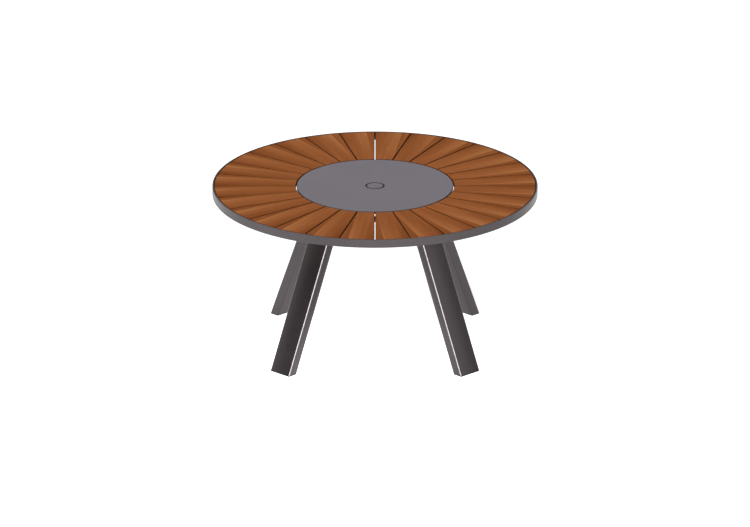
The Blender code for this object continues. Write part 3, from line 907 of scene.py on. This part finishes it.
def bead(path, radius, closed=False, seed=0):
    """A weld bead along a path: overlapping ripples of slightly uneven size."""
    points = [Vector(p) for p in path]
    dense = []
    pairs = list(zip(points, points[1:])) + ([(points[-1], points[0])] if closed else [])
    for a, b in pairs:
        n = max(2, int((b - a).length / 0.0007))
        dense += [a.lerp(b, k / n) for k in range(n)]
    if not closed:
        dense.append(points[-1])
    loops, count = [], 10
    total = len(dense)
    for k, p in enumerate(dense):
        before, after = dense[max(k - 1, 0)], dense[min(k + 1, total - 1)]
        if closed:
            before, after = dense[k - 1], dense[(k + 1) % total]
        along = (after - before).normalized()
        up = Vector((0, 0, 1))
        side = along.cross(up).normalized()
        up = side.cross(along)
        ripple = 1 + 0.13 * ((k * 0.27) % 1.0) + 0.10 * (scatter(int(k * 0.27) + seed) - 0.5)
        if not closed:
            end = min(k, total - 1 - k) * 0.0007 / radius
            ripple *= math.sqrt(max(0.06, min(1.0, 1 - (1 - min(end, 1.0)) ** 2)))
        r = radius * ripple
        loops.append([tuple(p + side * (r * math.cos(t)) + up * (r * math.sin(t)))
                      for t in (2 * math.pi * i / count for i in range(count))])
    return skin(loops, wrap=closed)


def leg_weld_parts():
    """Beads between the leg and its plate, on both wide faces."""
    centre = LEG_FOOT_R - LEAN_SLOPE * LEG_TOP
    half = LEG_T / 2 * STRETCH
    z = PLATE_BOTTOM - 0.0010
    return [bead([(centre + s * (half + 0.0006), -0.047, z), (centre + s * (half + 0.0006), 0.047, z)],
                 0.0024, seed=5 + s) for s in (-1, 1)]


def arm_weld_parts():
    """Beads from an arm to the hub plate, the slat ring and the rim's ledge."""
    parts = []
    half = ARM_W / 2
    for s in (-1, 1):
        parts.append(bead([(0.060, s * (half - 0.0006), HUB_BOTTOM - 0.0006),
                           (0.142, s * (half - 0.0006), HUB_BOTTOM - 0.0006)], 0.0022, seed=s + 2))
        parts.append(bead([(0.6935, s * (half + 0.0002), LEDGE_BOTTOM - 0.0008),
                           (0.7140, s * (half + 0.0002), LEDGE_BOTTOM - 0.0008)], 0.0020,
                          seed=s + 7))
    for k, r in enumerate((RING_R_OUT - RING_WALL - 0.0004, RING_R_OUT + 0.0004)):
        x = math.sqrt(r * r - half * half)
        parts.append(bead([(x, -half + 0.002, ARM_TOP + 0.0006), (r, 0.0, ARM_TOP + 0.0006),
                           (x, half - 0.002, ARM_TOP + 0.0006)], 0.0018, seed=11 + k))
    return parts


def place(name, parts, material, turn):
    verts, faces, marks = joined(parts)
    return piece(name, mesh_from(name, verts, faces, marks), material, "frame", (), turn)


LEG, FOOT, LEG_PLATE, ARM = leg_mesh(), foot_mesh(), leg_plate_mesh(), arm_mesh()
BOLT = bolt_mesh()
for where, turn in DIAGONALS.items():
    piece(f"leg_tube_{where}", LEG, COAT, "frame", [f"leg_{where}"], turn,
          even=False)
    piece(f"leg_foot_{where}", FOOT, PLASTIC, "frame", [f"foot_cap_{where}"],
          turn)
    piece(f"leg_top_plate_{where}", LEG_PLATE, COAT, "frame", [f"leg_plate_{where}"],
          turn)
    piece(f"arm_tube_{where}", ARM, COAT, "frame", [f"arm_{where}"], turn)
    place(f"leg_welds_{where}", leg_weld_parts(), COAT, turn)
    place(f"arm_welds_{where}", arm_weld_parts(), COAT, turn)
    for which, r in (("inner", BOLT_R_INNER), ("outer", BOLT_R_OUTER)):
        bolt = bpy.data.objects.new(f"hex_bolt_{where}_{which}", BOLT)
        bpy.context.scene.collection.objects.link(bolt)
        if not BOLT.materials:
            BOLT.materials.append(STEEL)
        a = math.radians(turn)
        bolt.location = (r * math.cos(a), r * math.sin(a), BOLT_SEAT)
        bolt.rotation_euler = (0, 0, a + (0.35 if which == "inner" else 0.82))
        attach(bolt, "frame")
        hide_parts(f"leg_bolt_{where}_{which}")

pitch = 360 / SLATS
outer_places, inner_places = [], []
for i in range(SLATS):
    mid = (i + 0.5) * pitch
    outer_places += [(0.7035, mid - 3.7), (0.7035, mid + 3.7)]
    near_arm = min(abs((mid - d + 180) % 360 - 180) for d in DIAGONALS.values())
    if near_arm > 6:
        inner_places.append((RING_R_IN + 0.0195, mid))
for name, mesh in (
        ("slat_screws_outer", screws("slat_screws_outer", outer_places, LEDGE_BOTTOM, 0.0040, 0.0024)),
        ("slat_screws_inner", screws("slat_screws_inner", inner_places, LEDGE_TOP - RING_WALL, 0.0040, 0.0024)),
        ("bearing_screws", screws("bearing_screws",
                                  [(0.102, q * 90 + s) for q in range(4) for s in (-16, 16)],
                                  HUB_BOTTOM, 0.0045, 0.0028))):
    piece(name, mesh, STEEL, "frame", ())


# --------------------------------------------------------- floor, light, camera
FLOOR_TONE, FLOOR_GLOW = 0.45, 0.87
# pools of light painted into the floor's glow: middle, radius, strength
POOLS = [(-0.7, -0.5, 1.3, 0.95), (0.8, -0.4, 1.2, 0.55), (-2.6, 0.3, 2.2, 0.25),
         (0.0, -2.8, 1.6, 1.60), (-2.2, -1.4, 1.6, 1.20), (1.6, -2.2, 1.4, 1.20)]
ZENITH, FRONT = 0.05, 5.5
# soft lights near the horizon: azimuth, half-angles of full and of no light, strength
LOW = [(310, 20, 62, 2.3), (125, 20, 60, 1.1), (35, 15, 60, 0.3), (80, 20, 60, 0.2),
       (270, 20, 60, 0.7)]
SUN = {"energy": 2.15, "azimuth": 202.0, "elevation": 54.0, "angle": 24.0}


def floor_material():
    """Pale and glowing evenly, with painted pools of light where it glows brighter."""
    mat, n, bsdf = new_material("pale_floor")
    axes = n.new("ShaderNodeSeparateXYZ",
                 {0: n.new("ShaderNodeTexCoord").outputs["Object"]}).outputs
    n.put(bsdf, "Base Color", (FLOOR_TONE, FLOOR_TONE, FLOOR_TONE, 1.0))
    bsdf.inputs["Roughness"].default_value = 0.95
    bsdf.inputs["Specular IOR Level"].default_value = 0.0
    bsdf.inputs["Emission Color"].default_value = (1.0, 1.0, 1.0, 1.0)
    glow = FLOOR_GLOW
    for px, py, radius, strength in POOLS:
        dx, dy = n.sub(axes[0], px), n.sub(axes[1], py)
        away = n.math("SQRT", n.add(n.mul(dx, dx), n.mul(dy, dy)))
        glow = n.add(n.mul(n.ramp_to(away, radius, radius * 0.25), strength), glow)
    n.put(bsdf, "Emission Strength", glow)
    return mat


def make_floor():
    bm = bmesh.new()
    bmesh.ops.create_grid(bm, x_segments=8, y_segments=8, size=150.0)
    mesh = bpy.data.meshes.new("studio_floor")
    bm.to_mesh(mesh)
    bm.free()
    mesh.materials.append(floor_material())
    obj = bpy.data.objects.new("studio_floor", mesh)
    bpy.context.scene.collection.objects.link(obj)


def make_world(below=1.05):
    """A soft studio: large soft lights low down round the table, one overhead,
    and a wide low one in front."""
    world = bpy.data.worlds.new("soft_studio")
    world.use_nodes = True
    bpy.context.scene.world = world
    n = Nodes(world.node_tree)
    background = world.node_tree.nodes["Background"]
    direction = n.new("ShaderNodeTexCoord").outputs["Generated"]
    axes = n.new("ShaderNodeSeparateXYZ", {0: direction}).outputs
    x, y, z = axes[0], axes[1], axes[2]
    flat = n.math("SQRT", n.math("MAXIMUM", n.add(n.mul(x, x), n.mul(y, y)), 1e-4))

    def box(azimuth, full, none):
        a = math.radians(azimuth)
        dot = n.math("DIVIDE", n.add(n.mul(x, math.cos(a)), n.mul(y, math.sin(a))), flat)
        return n.ramp_to(dot, math.cos(math.radians(none)), math.cos(math.radians(full)))

    low = n.mul(n.ramp_to(z, 0.0, 0.03), n.ramp_to(z, 0.50, 0.25))
    azimuth = n.math("ABSOLUTE", n.math("ARCTAN2", x, n.mul(y, -1.0)))
    front = n.mul(n.ramp_to(azimuth, math.radians(50), math.radians(34)),
                  n.mul(n.ramp_to(z, 0.02, 0.08), n.ramp_to(z, 0.40, 0.30)))
    level = n.total(n.mul(n.ramp_to(z, 0.75, 0.92), ZENITH), n.mul(front, FRONT),
                    *(n.mul(n.mul(box(a, full, none), low), w) for a, full, none, w in LOW),
                    n.mul(n.math("LESS_THAN", z, 0.0), below))
    n.put(background, "Strength", level)
    background.inputs["Color"].default_value = (1.0, 1.0, 1.0, 1.0)


def make_sun(sun):
    data = bpy.data.lights.new("large_softbox", "SUN")
    data.energy = sun["energy"]
    data.angle = math.radians(sun["angle"])
    obj = bpy.data.objects.new("large_softbox", data)
    a, e = math.radians(sun["azimuth"]), math.radians(sun["elevation"])
    towards = Vector((math.cos(a) * math.cos(e), math.sin(a) * math.cos(e), math.sin(e)))
    obj.rotation_mode = "QUATERNION"
    obj.rotation_quaternion = towards.to_track_quat("Z", "Y")
    bpy.context.scene.collection.objects.link(obj)


def make_camera():
    """Parallel projection, 19.5 degrees above the horizon, as in the photo."""
    data = bpy.data.cameras.new("camera")
    data.type = "ORTHO"
    data.ortho_scale = 750 / 224.4
    data.clip_start, data.clip_end = 0.1, 400.0
    obj = bpy.data.objects.new("camera", data)
    up = math.radians(19.5)
    back = Vector((0.0, -math.cos(up), math.sin(up)))
    obj.location = Vector((0.0, 0.0, 0.372)) + back * 20.0
    obj.rotation_mode = "QUATERNION"
    obj.rotation_quaternion = (-back).to_track_quat("-Z", "Y")
    bpy.context.scene.collection.objects.link(obj)
    bpy.context.scene.camera = obj


make_floor()
make_world()
make_sun(SUN)
make_camera()
view = bpy.context.scene.view_settings
view.view_transform = "Standard"
view.look = "None"
view.exposure = 0.0
view.gamma = 1.0

bpy.context.view_layer.update()
